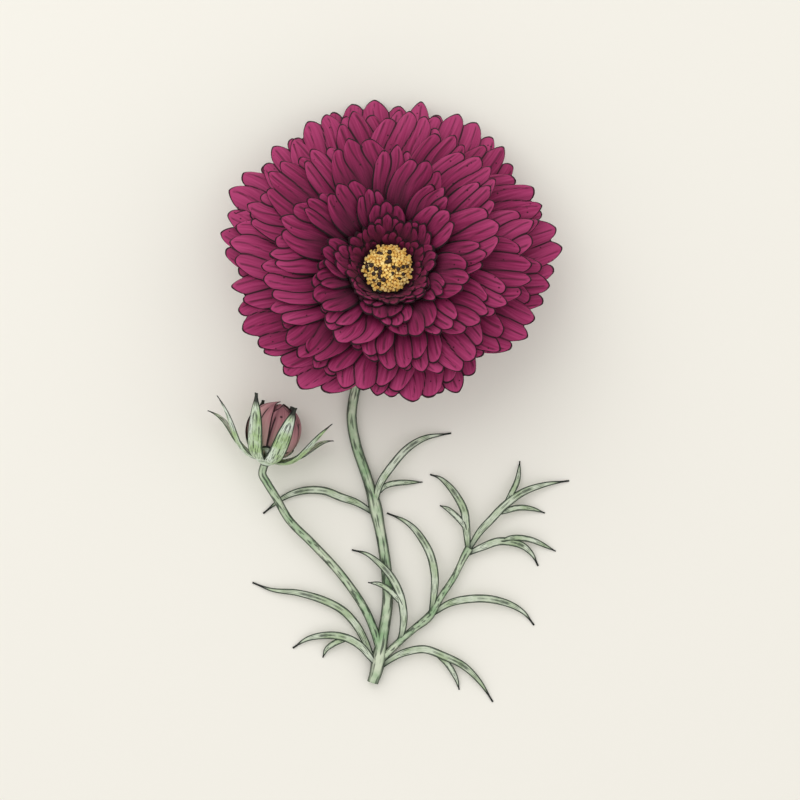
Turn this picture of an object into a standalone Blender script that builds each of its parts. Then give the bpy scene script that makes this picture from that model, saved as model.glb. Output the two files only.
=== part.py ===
"""A cut sprig of double cosmos, lying face up: one open flower, one bud and narrow forked leaves.

The head is turned up from its stem. It rests on the stem below it and on the tips of its rear petals, and the stem's
cut end and the leaves' tips lie on the same surface. Units are metres. +Z is up from that surface and +Y runs from
the cut end to the flower. The origin is on the surface, below the middle of the sprig's box.
"""

import math

import bmesh
import bpy
from mathutils import Vector

# Driving dimensions of the head, in its own frame: +Z is the flower's axis and +Y its rear.
HEAD_HEIGHT = 0.0134  # from the surface to the middle of the petals' lowest seat
HEAD_TILT = math.radians(14)  # the axis leans this far to the rear
PETALS = 36
GOLDEN_ANGLE = math.radians(137.508)
FIRST_PETAL_AZIMUTH = math.radians(96)
SEAT_RADIUS = 0.0058  # where the petals' narrow claws meet the receptacle
SEAT_RISE = 0.0065  # the innermost petal's seat is this far above the outermost one's
PETAL_REACH = 0.0370  # from the axis to the tip of an outermost petal
REACH_REAR = 0.0063  # more at the rear, and less at the front
REACH_SIDES = 0.0013  # more at both sides
INNER_SHORTENING = 0.73  # share of its reach that the innermost petal lacks
SHORTENING_POWER = 1.7
PETAL_HALF_WIDTHS = (0.0108, 0.0034)  # outermost and innermost
CLAW_HALF_WIDTH = 0.0011
PETAL_THICKNESS = 0.0003
ARCH_HEIGHTS = (0.0055, 0.0155)  # how far the outermost and innermost petals would rise
ARCH_LENGTH = 0.007  # a petal flattens out over this distance from its seat
DROOP_SIDE = 0.004  # at the sides, and more at the rear, where the tips reach the surface
DROOP_REAR = 0.0018
LOBES = 3  # rounded teeth on a petal's tip
LOBE_DEPTH = 0.055  # share of the petal's reach
TIP_ROUNDING = 0.13
WIDEST_ALONG = 0.8  # share of the petal's length at which it is widest

# The receptacle and its green bracts, and the disc of florets on it.
FIT_GAP = 0.0003
RECEPTACLE_RADIUS = SEAT_RADIUS - FIT_GAP - PETAL_THICKNESS / 2
RECEPTACLE_CHAMFER = 0.0004
CALYX_DEPTH = 0.0065
CALYX_NECK_RADIUS = 0.0014
CALYX_SHOULDER_RADIUS = 0.0062
CALYX_SHOULDER_DROPS = (0.0008, 0.0014, 0.0022)  # the receptacle's foot, the shoulder's top and its lower edge
HEAD_STEPS = 20  # sides of the cup and the disc
BOWL_STEPS = 5
DISC_ARC_STEPS = 4
CALYX_BRACTS = 8
CALYX_BRACT_START = 0.0044  # inside the cup
CALYX_BRACT_REACH = 0.0165
CALYX_BRACT_HALF_WIDTH = 0.0017
CALYX_BRACT_RANK = -0.16  # below the outermost petal, which is rank 0
DISC_RADIUS = 0.0049
DISC_HEIGHT = 0.0026
DISC_EDGE_SHARE = 0.25  # of its height, upright at its edge

# The bud lies on its side, its axis slightly raised.
BUD_BASE = (-0.0270, -0.0396, 0.0066)
BUD_HEADING = math.radians(75)  # from +X
BUD_RAISE = math.radians(8)
BUD_PETALS = 5
BUD_PETAL_STEPS = (5, 8)  # round and along each petal
BUD_CUP_STEPS = 16
BUD_RADIUS = 0.0058
BUD_LENGTH = 0.0125
BUD_FULLNESS = 0.8  # 1 is a plain spheroid, and less is fuller
BUD_SEAT = 0.0007
BUD_CUP_PROFILE = ((0, 0.0004), (0.0016, 0.0004), (0.0022, 0.0002), (0.0019, -0.0006), (0.0011, -0.0011), (0, -0.0011))
BUD_BRACT_HALF_WIDTH = 0.00125
BUD_BRACT_START = 0.0012
BUD_BRACT_CURL = 0.0065  # height above the cup at which a bract turns outward
BRACT_THICKNESS = 0.0005
BRACT_TIP_SHARE = 0.12  # of a bract's full width at its tip
BRACT_BASE_PHASE = 0.22  # its outline is a half wave from here to its tip
# Azimuth about the bud's axis from its left side over the top, the radius that the bract bulges to, and its tip's
# distance from the axis and along it.
BUD_BRACTS = (
    (math.radians(-10), 0.0090, 0.0156, 0.0068),
    (math.radians(25), 0.0086, 0.0150, 0.0120),
    (math.radians(65), 0.0078, 0.0125, 0.0156),
    (math.radians(110), 0.0076, 0.0110, 0.0145),
    (math.radians(160), 0.0086, 0.0130, 0.0122),
    (math.radians(195), 0.0090, 0.0138, 0.0074),
    (math.radians(250), 0.0068, 0.0070, 0.0120),
    (math.radians(305), 0.0070, 0.0073, 0.0118),
)

# Stems and leaves. A route's points run from the part that carries it to its tip.
MAIN_STEM_RADII = (0.00125, 0.00106)  # at its foot and its tip
BUD_STEM_RADII = (0.00098, 0.00088)
SHOOT_STEM_RADII = (0.00085, 0.00068)
LEAF_HALF_WIDTH = 0.00092
LEAF_HALF_THICKNESS = 0.00036
STEM_RESOLUTION = 2
LEAF_SECTION_SIDES = 6
LEAF_BASE_SHARE = 0.55  # of a leaf's full width at its base
PRONG_BASE_SHARE = 0.5
LEAF_BROAD_FROM = 0.3  # share of a leaf's length at which it has its full width
LEAF_TIP_SHARE = 0.16
LEAF_TAPER_POWER = 2.2
KNOT_STEP = 0.0024  # between rings of a tube or a leaf
FORK_INSET = 5  # a prong leaves its leaf at least this many close points after the leaf's base
JOINT_GAP = 0.0003
BRANCH_ROOM = 0.7  # share of a branch's half width that its slanting end needs beside the stem
OPEN_TIP = 5  # leaves at a stem's tip stand round its last few close points, so they start nearer to its end
NECK_LEADS = (0.0028, 0.0018)  # the main and the bud's stem run straight into their calyx for this long

MAIN_STEM_ROUTE = (
    (-0.0035, -0.0893, 0.00128),
    (-0.0024, -0.0854, 0.00128),
    (-0.0004, -0.0737, 0.00130),
    (-0.0002, -0.0671, 0.00130),
    (-0.0011, -0.0594, 0.00130),
    (-0.0029, -0.0502, 0.00135),
    (-0.0048, -0.0435, 0.00130),
    (-0.0070, -0.0370, 0.00125),
    (-0.0081, -0.0315, 0.00120),
    (-0.0079, -0.0270, 0.00120),
    (-0.0066, -0.0215, 0.00120),
    (-0.0042, -0.0150, 0.00125),
    (-0.0018, -0.0088, 0.00180),
)
BUD_STEM_ROUTE = (
    (-0.0016, -0.0830, 0.0016),
    (-0.0029, -0.0784, 0.0017),
    (-0.0047, -0.0739, 0.0018),
    (-0.0074, -0.0694, 0.0020),
    (-0.0115, -0.0640, 0.0024),
    (-0.0169, -0.0582, 0.0030),
    (-0.0218, -0.0532, 0.0039),
    (-0.0247, -0.0482, 0.0050),
    (-0.0268, -0.0447, 0.0060),
)
SHOOT_STEM_ROUTE = (
    (-0.0013, -0.0838, 0.0014),
    (0.0020, -0.0806, 0.0015),
    (0.0056, -0.0774, 0.0016),
    (0.0092, -0.0744, 0.0017),
    (0.0119, -0.0699, 0.0018),
    (0.0146, -0.0658, 0.0019),
    (0.0168, -0.0614, 0.0018),
    (0.0180, -0.0594, 0.0017),
)

# Name, the stem that carries it, its route, and the route of each side prong.
LEAVES = (
    (
        "leaf_upper_right",
        "main_stem",
        (
            (-0.0032, -0.0506, 0.0016),
            (-0.0029, -0.0490, 0.0020),
            (-0.0018, -0.0449, 0.0026),
            (0.0009, -0.0409, 0.0030),
            (0.0042, -0.0372, 0.0026),
            (0.0083, -0.0348, 0.0016),
            (0.0140, -0.0338, 0.00012),
        ),
        (
            (
                (-0.0023, -0.0474, 0.0022),
                (-0.0006, -0.0455, 0.0023),
                (0.0024, -0.0448, 0.0017),
                (0.0076, -0.0447, 0.00012),
            ),
        ),
    ),
    (
        "leaf_upper_left",
        "main_stem",
        (
            (-0.0031, -0.0517, 0.0013),
            (-0.0069, -0.0493, 0.0016),
            (-0.0106, -0.0480, 0.0015),
            (-0.0144, -0.0466, 0.0013),
            (-0.0190, -0.0466, 0.0010),
            (-0.0234, -0.0482, 0.0007),
            (-0.0279, -0.0517, 0.00012),
        ),
        (),
    ),
    (
        "leaf_base_left",
        "main_stem",
        (
            (-0.0020, -0.0855, 0.0012),
            (-0.0036, -0.0836, 0.0011),
            (-0.0052, -0.0800, 0.0010),
            (-0.0072, -0.0764, 0.0012),
            (-0.0103, -0.0731, 0.0015),
            (-0.0148, -0.0708, 0.0016),
            (-0.0202, -0.0693, 0.0013),
            (-0.0258, -0.0687, 0.0008),
            (-0.0303, -0.0671, 0.00012),
        ),
        (),
    ),
    (
        "leaf_base_left_low",
        "main_stem",
        (
            (-0.0024, -0.0854, 0.0020),
            (-0.0038, -0.0838, 0.0023),
            (-0.0061, -0.0811, 0.0025),
            (-0.0092, -0.0793, 0.0024),
            (-0.0132, -0.0787, 0.0018),
            (-0.0178, -0.0795, 0.0010),
            (-0.0213, -0.0817, 0.00012),
        ),
        (
            (
                (-0.0088, -0.0795, 0.0024),
                (-0.0114, -0.0802, 0.0018),
                (-0.0137, -0.0818, 0.0010),
                (-0.0146, -0.0838, 0.00012),
            ),
        ),
    ),
    (
        "leaf_base_right",
        "main_stem",
        (
            (-0.0021, -0.0861, 0.0015),
            (0.0004, -0.0842, 0.0017),
            (0.0034, -0.0826, 0.0020),
            (0.0079, -0.0818, 0.0021),
            (0.0123, -0.0833, 0.0019),
            (0.0168, -0.0856, 0.0014),
            (0.0204, -0.0892, 0.0009),
            (0.0233, -0.0939, 0.00012),
        ),
        (
            (
                (0.0100, -0.0824, 0.0020),
                (0.0130, -0.0849, 0.0015),
                (0.0150, -0.0882, 0.0009),
                (0.0158, -0.0912, 0.00012),
            ),
        ),
    ),
    (
        "leaf_base_centre",
        "shoot_stem",
        (
            (0.0022, -0.0804, 0.0016),
            (0.0031, -0.0779, 0.0022),
            (0.0034, -0.0739, 0.0029),
            (0.0024, -0.0690, 0.0033),
            (-0.0002, -0.0645, 0.0035),
            (-0.0043, -0.0609, 0.0022),
            (-0.0081, -0.0598, 0.00012),
        ),
        (
            (
                (0.0032, -0.0722, 0.0031),
                (0.0011, -0.0694, 0.0034),
                (-0.0016, -0.0674, 0.0033),
                (-0.0045, -0.0670, 0.0016),
            ),
        ),
    ),
    (
        "shoot_leaflet_left",
        "shoot_stem",
        (
            (0.0094, -0.0742, 0.0018),
            (0.0101, -0.0699, 0.0024),
            (0.0103, -0.0653, 0.0028),
            (0.0092, -0.0604, 0.0029),
            (0.0065, -0.0559, 0.0023),
            (0.0036, -0.0533, 0.0014),
            (-0.0003, -0.0516, 0.00012),
        ),
        (),
    ),
    (
        "shoot_leaflet_right",
        "shoot_stem",
        (
            (0.0095, -0.0742, 0.0016),
            (0.0141, -0.0714, 0.0020),
            (0.0204, -0.0705, 0.0021),
            (0.0258, -0.0714, 0.0016),
            (0.0299, -0.0735, 0.0010),
            (0.0325, -0.0766, 0.00012),
        ),
        (),
    ),
    (
        "shoot_top_left",
        "shoot_stem",
        (
            (0.0168, -0.0596, 0.0018),
            (0.0173, -0.0545, 0.0024),
            (0.0167, -0.0506, 0.0027),
            (0.0144, -0.0466, 0.0023),
            (0.0117, -0.0439, 0.0013),
            (0.0093, -0.0430, 0.00012),
        ),
        (
            (
                (0.0177, -0.0556, 0.0023),
                (0.0161, -0.0533, 0.0026),
                (0.0136, -0.0509, 0.0018),
                (0.0115, -0.0499, 0.00012),
            ),
        ),
    ),
    (
        "shoot_top_right",
        "shoot_stem",
        (
            (0.0184, -0.0612, 0.0016),
            (0.0209, -0.0591, 0.0019),
            (0.0248, -0.0578, 0.0020),
            (0.0292, -0.0585, 0.0016),
            (0.0319, -0.0606, 0.0010),
            (0.0334, -0.0636, 0.00012),
        ),
        (
            (
                (0.0248, -0.0578, 0.0020),
                (0.0278, -0.0570, 0.0021),
                (0.0321, -0.0576, 0.0015),
                (0.0375, -0.0602, 0.00012),
            ),
        ),
    ),
    (
        "shoot_tip",
        "shoot_stem",
        (
            (0.0181, -0.0592, 0.0018),
            (0.0201, -0.0560, 0.0022),
            (0.0228, -0.0530, 0.0024),
            (0.0258, -0.0499, 0.0025),
            (0.0299, -0.0469, 0.0022),
            (0.0349, -0.0452, 0.0013),
            (0.0405, -0.0444, 0.00012),
        ),
        (
            (
                (0.0256, -0.0501, 0.0025),
                (0.0275, -0.0469, 0.0023),
                (0.0288, -0.0439, 0.0015),
                (0.0293, -0.0398, 0.00012),
            ),
            (
                (0.0240, -0.0518, 0.0024),
                (0.0285, -0.0504, 0.0018),
                (0.0319, -0.0506, 0.0011),
                (0.0349, -0.0516, 0.00012),
            ),
        ),
    ),
)


def clear_scene():
    for obj in list(bpy.data.objects):
        bpy.data.objects.remove(obj, do_unlink=True)


def new_collection(name):
    collection = bpy.data.collections.new(name)
    bpy.context.scene.collection.children.link(collection)
    return collection


def new_material(name, colour, roughness):
    material = bpy.data.materials.new(name)
    material.use_nodes = True
    shader = material.node_tree.nodes["Principled BSDF"]
    shader.inputs["Base Color"].default_value = (*colour, 1.0)
    shader.inputs["Roughness"].default_value = roughness
    shader.inputs["Metallic"].default_value = 0.0
    return material


clear_scene()
SPRIG = new_collection("cosmos_sprig")
JOINED = new_collection("joined_prongs")
PETAL_RED = new_material("petal_crimson", (0.24, 0.02, 0.08), 0.6)
DISC_YELLOW = new_material("disc_yellow", (0.80, 0.50, 0.07), 0.8)
LEAF_GREEN = new_material("leaf_green", (0.30, 0.40, 0.25), 0.6)
BUD_PINK = new_material("bud_pink", (0.42, 0.18, 0.20), 0.6)


def add_object(name, data, material=None, parent=None, collection=SPRIG):
    obj = bpy.data.objects.new(name, data)
    collection.objects.link(obj)
    obj.parent = parent
    if material is not None:
        data.materials.append(material)
    return obj


def add_helper(name, data, parent=None):
    """An object that another one takes its shape from, and that isn't shown."""
    obj = add_object(name, data, None, parent, JOINED)
    obj.hide_render = True
    obj.display_type = "WIRE"
    return obj


def smooth_shaded(mesh):
    mesh.shade_smooth()
    mesh.set_sharp_from_angle(angle=math.radians(50))


def between(pair, share):
    """The value a share of the way from a pair's first to its second."""
    return pair[0] + (pair[1] - pair[0]) * share


# Routes -------------------------------------------------------------------------------------------


def smooth_route(knots, step=0.00025):
    """Close points along one smooth curve through the knots (Catmull-Rom)."""
    knots = [Vector(k) for k in knots]
    ends = [2 * knots[0] - knots[1], *knots, 2 * knots[-1] - knots[-2]]
    route = []
    for a, b, c, d in zip(ends, ends[1:], ends[2:], ends[3:]):
        count = max(2, round((c - b).length / step))
        for k in range(count):
            t = k / count
            bent = (c - a) * t + (2 * a - 5 * b + 4 * c - d) * t**2 + (3 * b - a - 3 * c + d) * t**3
            route.append(b + bent / 2)
    return [*route, knots[-1]]


def spaced(route, spacing):
    """Points of the route, spacing apart or a little closer, with both its ends."""
    count = max(4, math.ceil(len(route) * (route[1] - route[0]).length / spacing))
    last = len(route) - 1
    return [route[round(last * k / count)] for k in range(count + 1)]


def trimmed(route, carrier, clearance):
    """The route from where it first lies clearance away from the middle of the stem that carries it."""
    for k, point in enumerate(route):
        if min((point - other).length for other in carrier) >= clearance:
            return route[k:]
    return route


# Stems and leaves ---------------------------------------------------------------------------------


def curve_along(name, points, radii):
    curve = bpy.data.curves.new(name, "CURVE")
    curve.dimensions = "3D"
    curve.use_fill_caps = True
    spline = curve.splines.new("POLY")
    spline.points.add(len(points) - 1)
    for knot, point, radius in zip(spline.points, points, radii):
        knot.co = (*point, 1)
        knot.radius = radius
    return curve


def make_stem(name, route, end_radii, parent):
    """A round stem that thins evenly along its route."""
    points = spaced(route, KNOT_STEP)
    radii = [between(end_radii, k / (len(points) - 1)) for k in range(len(points))]
    curve = curve_along(name, points, radii)
    curve.bevel_depth = 1  # times each point's own radius
    curve.bevel_resolution = STEM_RESOLUTION
    return add_object(name, curve, LEAF_GREEN, parent)


def leaf_section():
    """The flat hexagonal section that every leaf shares, at its full width."""
    curve = bpy.data.curves.new("leaf_section", "CURVE")
    curve.dimensions = "2D"
    spline = curve.splines.new("POLY")
    spline.points.add(LEAF_SECTION_SIDES - 1)
    spline.use_cyclic_u = True
    for k, point in enumerate(spline.points):
        turn = 2 * math.pi * k / LEAF_SECTION_SIDES
        point.co = (LEAF_HALF_WIDTH * math.cos(turn), LEAF_HALF_THICKNESS * math.sin(turn), 0, 1)
    return add_helper("leaf_section", curve)


def leaf_taper(share, base_share):
    """A leaf's width at a share of its length: narrow at its base, broad in the middle and pointed."""
    if share < LEAF_BROAD_FROM:
        return between((base_share, 1), share / LEAF_BROAD_FROM)
    return max(LEAF_TIP_SHARE, 1 - ((share - LEAF_BROAD_FROM) / (1 - LEAF_BROAD_FROM)) ** LEAF_TAPER_POWER)


def make_blade(name, route, base_share, section, parent):
    """One leaf blade or prong, as a closed mesh."""
    points = spaced(route, KNOT_STEP)
    radii = [leaf_taper(k / (len(points) - 1), base_share) for k in range(len(points))]
    curve = curve_along(name, points, radii)
    curve.twist_mode = "Z_UP"
    curve.bevel_mode = "OBJECT"
    curve.bevel_object = section
    tube = add_object(name + "_curve", curve, LEAF_GREEN, parent)
    graph = bpy.context.evaluated_depsgraph_get()
    mesh = bpy.data.meshes.new_from_object(tube.evaluated_get(graph))
    mesh.name = name
    weld = bmesh.new()
    weld.from_mesh(mesh)
    bmesh.ops.remove_doubles(weld, verts=weld.verts, dist=1e-6)
    bmesh.ops.recalc_face_normals(weld, faces=weld.faces)
    weld.to_mesh(mesh)
    weld.free()
    bpy.data.objects.remove(tube)
    return mesh


def make_leaf(name, route, prong_knots, section, parent):
    """A leaf with its side prongs grown into it."""
    leaf = add_object(name, make_blade(name, route, LEAF_BASE_SHARE, section, parent), None, parent)
    for number, knots in enumerate(prong_knots, 1):
        prong_name = f"{name}_prong_{number}"
        fork = min(route[FORK_INSET:], key=lambda point: (point - Vector(knots[0])).length)
        mesh = make_blade(prong_name, smooth_route([fork, *knots[1:]]), PRONG_BASE_SHARE, section, parent)
        union = leaf.modifiers.new(prong_name, "BOOLEAN")
        union.operation = "UNION"
        union.object = add_helper(prong_name, mesh, parent)
    return leaf


# Turned and sheet pieces --------------------------------------------------------------------------


def turned(name, profile, steps, material, parent, collection=SPRIG):
    """A profile of (radius, height) points turned about Z. It runs down the outer side, from the axis to the axis."""
    mesh = bpy.data.meshes.new(name)
    points = [(radius, 0, height) for radius, height in profile]
    mesh.from_pydata(points, [(k, k + 1) for k in range(len(points) - 1)], [])
    obj = add_object(name, mesh, material, parent, collection)
    screw = obj.modifiers.new("turned", "SCREW")
    screw.steps = steps
    screw.render_steps = steps
    screw.use_merge_vertices = True
    screw.merge_threshold = 0.00001
    return obj


def sheet_mesh(name, place, across, along):
    """A grid of across by along cells, with place(share across from -1 to 1, share along from 0 to 1) at its corners."""
    mesh = bpy.data.meshes.new(name)
    grid = bmesh.new()
    bmesh.ops.create_grid(grid, x_segments=across, y_segments=along, size=1)
    for vert in grid.verts:
        vert.co = place(-vert.co.x, (vert.co.y + 1) / 2)
    grid.to_mesh(mesh)
    grid.free()
    return mesh


def thicken(obj, thickness):
    """Gives an open sheet its thickness, half to each side."""
    solidify = obj.modifiers.new("thickness", "SOLIDIFY")
    solidify.thickness = thickness
    solidify.offset = 0


# The flower's head --------------------------------------------------------------------------------


def petal_height(rank, radius, azimuth):
    """Height of the sheet that a petal lies on. Rank is 0 for the outermost and 1 for the innermost.

    A higher rank is higher at every radius and azimuth, so no two petals cross however their outlines overlap.
    """
    out = radius - SEAT_RADIUS
    arch = between(ARCH_HEIGHTS, rank) * (1 - math.exp(-out / ARCH_LENGTH))
    droop = (DROOP_SIDE + DROOP_REAR * math.sin(azimuth)) * (out / (PETAL_REACH - SEAT_RADIUS)) ** 2
    return SEAT_RISE * rank + arch - droop


def petal_reach(rank, azimuth):
    """From the flower's axis to a petal's tip."""
    full = PETAL_REACH + REACH_REAR * math.sin(azimuth) + REACH_SIDES * math.cos(azimuth) ** 2
    return full * (1 - INNER_SHORTENING * rank**SHORTENING_POWER)


def petal_mesh(name, rank, azimuth):
    """An open sheet, in the frame of a petal that points along +X."""
    reach = petal_reach(rank, azimuth)
    half_width = between(PETAL_HALF_WIDTHS, rank)

    def place(across, along):
        lobes = LOBE_DEPTH * (1 - math.cos(LOBES * math.pi * across)) / 2
        tip = reach * (1 - TIP_ROUNDING * across**2 - lobes)
        radius = SEAT_RADIUS + along * (tip - SEAT_RADIUS)
        fullness = math.sin(math.pi / 2 * along / WIDEST_ALONG)
        width = between((CLAW_HALF_WIDTH, half_width), fullness)
        turn = across * width / radius
        height = petal_height(rank, radius, azimuth + turn)
        return radius * math.cos(turn), radius * math.sin(turn), height

    return sheet_mesh(name, place, 2 * LOBES, 6)


def make_petals(head):
    """All the ray petals, from the outermost, each a golden angle round from the one before it."""
    for number in range(PETALS):
        azimuth = FIRST_PETAL_AZIMUTH + number * GOLDEN_ANGLE
        name = f"ray_petal_{number + 1:02d}"
        petal = add_object(name, petal_mesh(name, number / (PETALS - 1), azimuth), PETAL_RED, head)
        petal.rotation_euler.z = azimuth
        thicken(petal, PETAL_THICKNESS)
        smooth_shaded(petal.data)


def bract_outline(along):
    """A bract's width at a share of its length: broadest near its base and pointed."""
    return between((BRACT_TIP_SHARE, 1), math.sin(math.pi * between((BRACT_BASE_PHASE, 1), along)))


def add_bracts(calyx, bracts):
    """Grows closed, separate bracts into the cup."""
    for bract in bracts:
        union = calyx.modifiers.new(bract.name, "BOOLEAN")
        union.operation = "UNION"
        union.object = bract


def make_head_bract(number, head):
    """A green bract that spreads below the petals."""
    azimuth = 2 * math.pi * (number + 0.5) / CALYX_BRACTS
    def place(across, along):
        radius = between((CALYX_BRACT_START, CALYX_BRACT_REACH), along)
        turn = across * CALYX_BRACT_HALF_WIDTH * bract_outline(along) / radius
        height = petal_height(CALYX_BRACT_RANK, max(radius, SEAT_RADIUS), azimuth)
        return radius * math.cos(turn), radius * math.sin(turn), height

    name = f"calyx_bract_{number + 1}"
    bract = add_helper(name, sheet_mesh(name, place, 2, 5), head)
    bract.rotation_euler.z = azimuth
    thicken(bract, BRACT_THICKNESS)
    return bract


def make_calyx(head):
    """The green cup below the petals, the receptacle inside them and the spreading bracts, which grow as one."""
    foot, top, edge = CALYX_SHOULDER_DROPS
    profile = [
        (0, SEAT_RISE),
        (RECEPTACLE_RADIUS - RECEPTACLE_CHAMFER, SEAT_RISE),
        (RECEPTACLE_RADIUS, SEAT_RISE - RECEPTACLE_CHAMFER),
        (RECEPTACLE_RADIUS, -foot),
        (CALYX_SHOULDER_RADIUS, -top),
        (CALYX_SHOULDER_RADIUS, -edge),
    ]
    for k in range(1, BOWL_STEPS + 1):
        turn = math.pi / 2 * k / BOWL_STEPS
        radius = between((CALYX_NECK_RADIUS, CALYX_SHOULDER_RADIUS), math.cos(turn))
        profile.append((radius, -between((edge, CALYX_DEPTH), math.sin(turn))))
    profile.append((0, -CALYX_DEPTH))
    calyx = turned("calyx", profile, HEAD_STEPS, LEAF_GREEN, head)
    add_bracts(calyx, [make_head_bract(number, head) for number in range(CALYX_BRACTS)])


def make_disc(head):
    """The dome of fertile florets in the middle."""
    floor = SEAT_RISE + FIT_GAP
    arc = [math.pi / 2 * k / DISC_ARC_STEPS for k in range(DISC_ARC_STEPS + 1)]
    rises = [DISC_HEIGHT * between((DISC_EDGE_SHARE, 1), math.cos(turn)) for turn in arc]
    dome = [(DISC_RADIUS * math.sin(turn), floor + rise) for turn, rise in zip(arc, rises)]
    turned("disc", [*dome, (DISC_RADIUS, floor), (0, floor)], HEAD_STEPS, DISC_YELLOW, head)


# The bud ------------------------------------------------------------------------------------------


def make_bud_petal(number, bud):
    """One closed petal: a wedge of the bud from its axis to its skin, set out by half the fitting gap."""
    share = 2 * math.pi / BUD_PETALS
    round_steps, along_steps = BUD_PETAL_STEPS
    middle = BUD_LENGTH / 2
    wedge = bmesh.new()
    verts = []
    for k in range(along_steps + 1):
        turn = math.pi * k / along_steps
        radius = BUD_RADIUS * math.sin(turn) ** BUD_FULLNESS
        verts.append(wedge.verts.new((radius, 0, BUD_SEAT + middle - middle * math.cos(turn))))
    outline = wedge.faces.new(verts)
    sweep = [outline, *outline.edges, *verts]
    bmesh.ops.spin(wedge, geom=sweep, axis=(0, 0, 1), cent=(0, 0, 0), angle=share, steps=round_steps)
    bmesh.ops.remove_doubles(wedge, verts=wedge.verts, dist=1e-6)
    bmesh.ops.recalc_face_normals(wedge, faces=wedge.faces)
    name = f"bud_petal_{number + 1}"
    mesh = bpy.data.meshes.new(name)
    wedge.to_mesh(mesh)
    wedge.free()
    petal = add_object(name, mesh, BUD_PINK, bud)
    petal.rotation_euler.z = number * share
    facing = number * share + share / 2
    set_out = FIT_GAP / 2 / math.sin(share / 2)
    petal.location = (set_out * math.cos(facing), set_out * math.sin(facing), 0)


def make_bud_bract(number, azimuth, bulge, tip_distance, tip_height, bud):
    """A narrow bract that leaves the cup, stands round the bud and bends out to its tip."""
    start, end = Vector((BUD_BRACT_START, 0, 0)), Vector((tip_distance, 0, tip_height))
    out, up = Vector((bulge, 0, 0)), Vector((bulge, 0, BUD_BRACT_CURL))

    def place(across, along):
        back = 1 - along
        middle = start * back**3 + (out * back + up * along) * 3 * back * along + end * along**3
        width = across * BUD_BRACT_HALF_WIDTH * bract_outline(along)
        return middle.x, width, middle.z

    name = f"bud_bract_{number + 1}"
    bract = add_helper(name, sheet_mesh(name, place, 2, 7), bud)
    bract.rotation_euler.z = azimuth
    thicken(bract, BRACT_THICKNESS)
    return bract


def make_bud(sprig):
    """The closed bud in its calyx, and where its calyx's cup starts and points."""
    bud = add_object("bud_axis", None, None, sprig)
    bud.location = BUD_BASE
    level = math.cos(BUD_RAISE)
    axis = Vector((level * math.cos(BUD_HEADING), level * math.sin(BUD_HEADING), math.sin(BUD_RAISE)))
    bud.rotation_mode = "QUATERNION"
    bud.rotation_quaternion = axis.to_track_quat("Z", "Y")
    for number in range(BUD_PETALS):
        make_bud_petal(number, bud)
    calyx = turned("bud_calyx", BUD_CUP_PROFILE, BUD_CUP_STEPS, LEAF_GREEN, bud)
    add_bracts(calyx, [make_bud_bract(number, *shape, bud) for number, shape in enumerate(BUD_BRACTS)])
    return Vector(BUD_BASE), axis


# Assembly -----------------------------------------------------------------------------------------


def make_stems(sprig, head_base, head_axis, bud_base, bud_axis):
    """The three stems, and close points along each by its name."""
    neck = head_base - head_axis * (CALYX_DEPTH + FIT_GAP)
    bud_neck = bud_base + bud_axis * (BUD_CUP_PROFILE[-1][1] - FIT_GAP)
    main = smooth_route([*MAIN_STEM_ROUTE, neck - head_axis * NECK_LEADS[0], neck])
    bud = smooth_route([*BUD_STEM_ROUTE, bud_neck - bud_axis * NECK_LEADS[1], bud_neck])
    beside = MAIN_STEM_RADII[0] + JOINT_GAP
    bud = trimmed(bud, main, beside + BRANCH_ROOM * BUD_STEM_RADII[0])
    shoot = trimmed(smooth_route(SHOOT_STEM_ROUTE), main, beside + BRANCH_ROOM * SHOOT_STEM_RADII[0])
    make_stem("main_stem", main, MAIN_STEM_RADII, sprig)
    make_stem("bud_stem", bud, BUD_STEM_RADII, sprig)
    make_stem("shoot_stem", shoot, SHOOT_STEM_RADII, sprig)
    return {"main_stem": (main, MAIN_STEM_RADII[0]), "shoot_stem": (shoot[:-OPEN_TIP], SHOOT_STEM_RADII[0])}


def make_leaves(sprig, stems):
    """Every leaf, from beside the stem that carries it."""
    section = leaf_section()
    for name, carrier, knots, prongs in LEAVES:
        middle, radius = stems[carrier]
        clearance = radius + JOINT_GAP + BRANCH_ROOM * LEAF_BASE_SHARE * LEAF_HALF_WIDTH
        make_leaf(name, trimmed(smooth_route(knots), middle, clearance), prongs, section, sprig)


def set_down(sprig):
    """Moves the whole sprig so that the origin is on the surface, below the middle of its box."""
    graph = bpy.context.evaluated_depsgraph_get()
    corners = []
    for obj in SPRIG.objects:
        if obj.type != "EMPTY":
            shape = obj.evaluated_get(graph)
            mesh = shape.to_mesh()
            corners += [shape.matrix_world @ vert.co for vert in mesh.vertices]
            shape.to_mesh_clear()
    low = [min(corner[k] for corner in corners) for k in range(3)]
    high = [max(corner[k] for corner in corners) for k in range(3)]
    sprig.location = (-(low[0] + high[0]) / 2, -(low[1] + high[1]) / 2, -low[2])


def main():
    sprig = add_object("sprig", None)
    head = add_object("head_axis", None, None, sprig)
    head.location = (0, 0, HEAD_HEIGHT)
    head.rotation_euler.x = -HEAD_TILT
    head_axis = Vector((0, math.sin(HEAD_TILT), math.cos(HEAD_TILT)))
    make_petals(head)
    make_calyx(head)
    make_disc(head)
    bud_base, bud_axis = make_bud(sprig)
    stems = make_stems(sprig, Vector(head.location), head_axis, bud_base, bud_axis)
    make_leaves(sprig, stems)
    set_down(sprig)


main()
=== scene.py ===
# %% [markdown]
# # A cut sprig of double cosmos
#
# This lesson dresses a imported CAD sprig: one crimson double flower, a side bud, thin ribbed stems and narrow
# forked leaves. The sprig lies on a pale table, and the camera looks straight down on it.
#
# The CAD model says where each piece is. Every fine piece here is worked out from the same few rules, and then
# stands in for its plain CAD solid.

import math

import bpy
import numpy as np
from mathutils import Matrix, Vector


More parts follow.
